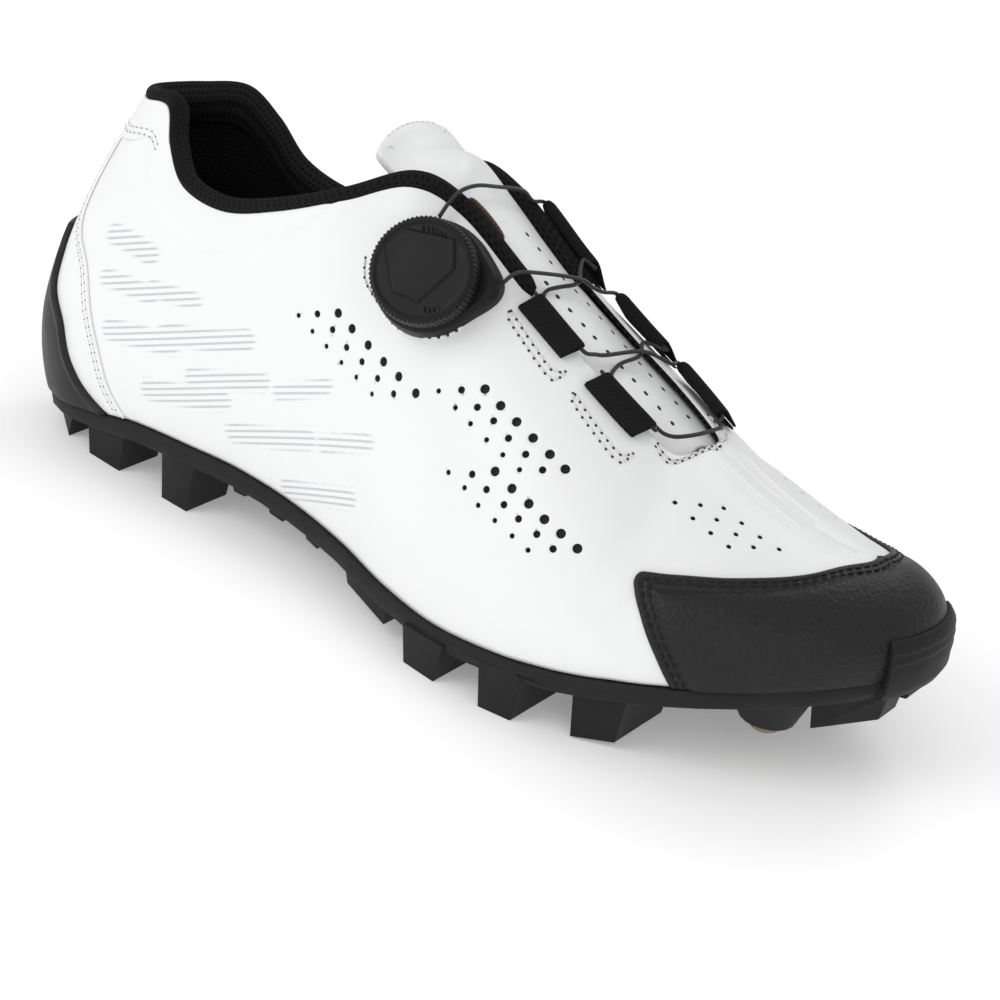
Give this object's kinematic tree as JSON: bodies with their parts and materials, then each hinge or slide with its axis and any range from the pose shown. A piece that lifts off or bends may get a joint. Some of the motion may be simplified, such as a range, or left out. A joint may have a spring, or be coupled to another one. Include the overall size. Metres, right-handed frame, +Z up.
{
  "type": "cycling shoe",
  "caption": "Right off-road cycling shoe with a white leather-like upper, black toe cap and heel counter, wire lace with a side dial, and a lugged rubber outsole with a cleat pocket.",
  "frame": {"origin": "middle of the shoe's bounding box, on the floor plane", "axes": "+X towards the toe, +Y towards the medial (inner) side, +Z up"},
  "size_m": [0.2808, 0.1054, 0.1166],
  "materials": {
    "black_rubber": "matt moulded rubber",
    "insole_foam": "fabric over foam",
    "white_leather": "smooth white microfibre",
    "tongue_leather": "perforated microfibre",
    "toe_cap_leather": "grained black",
    "back_stay_leather": "smooth white microfibre",
    "counter_rubber": "satin moulded rubber",
    "collar_mesh": "black mesh",
    "guide_webbing": "woven webbing",
    "dial_base_plastic": "matt",
    "dial_knob_plastic": "satin",
    "stud_brass": "dull",
    "loop_webbing": "woven tape",
    "lace_wire": "coated steel wire"
  },
  "bodies": {
    "root": {"outsole": "black_rubber", "insole": "insole_foam", "upper": "white_leather", "tongue": "tongue_leather", "toe_cap": "toe_cap_leather", "back_stay": "back_stay_leather", "heel_counter": "counter_rubber", "collar": "collar_mesh", "lace_guide_lateral_rear": "guide_webbing", "lace_guide_lateral_front": "guide_webbing", "lace_guide_medial_rear": "guide_webbing", "lace_guide_medial_mid": "guide_webbing", "lace_guide_medial_front": "guide_webbing", "dial_base": "dial_base_plastic", "dial_knob": "dial_knob_plastic", "toe_stud_lateral": "stud_brass", "toe_stud_medial": "stud_brass", "throat_loop": "loop_webbing", "lace_top": "lace_wire", "lace_toe": "lace_wire", "lace_crossing_upper": "lace_wire", "lace_crossing_lower": "lace_wire"}
  },
  "joints": []
}
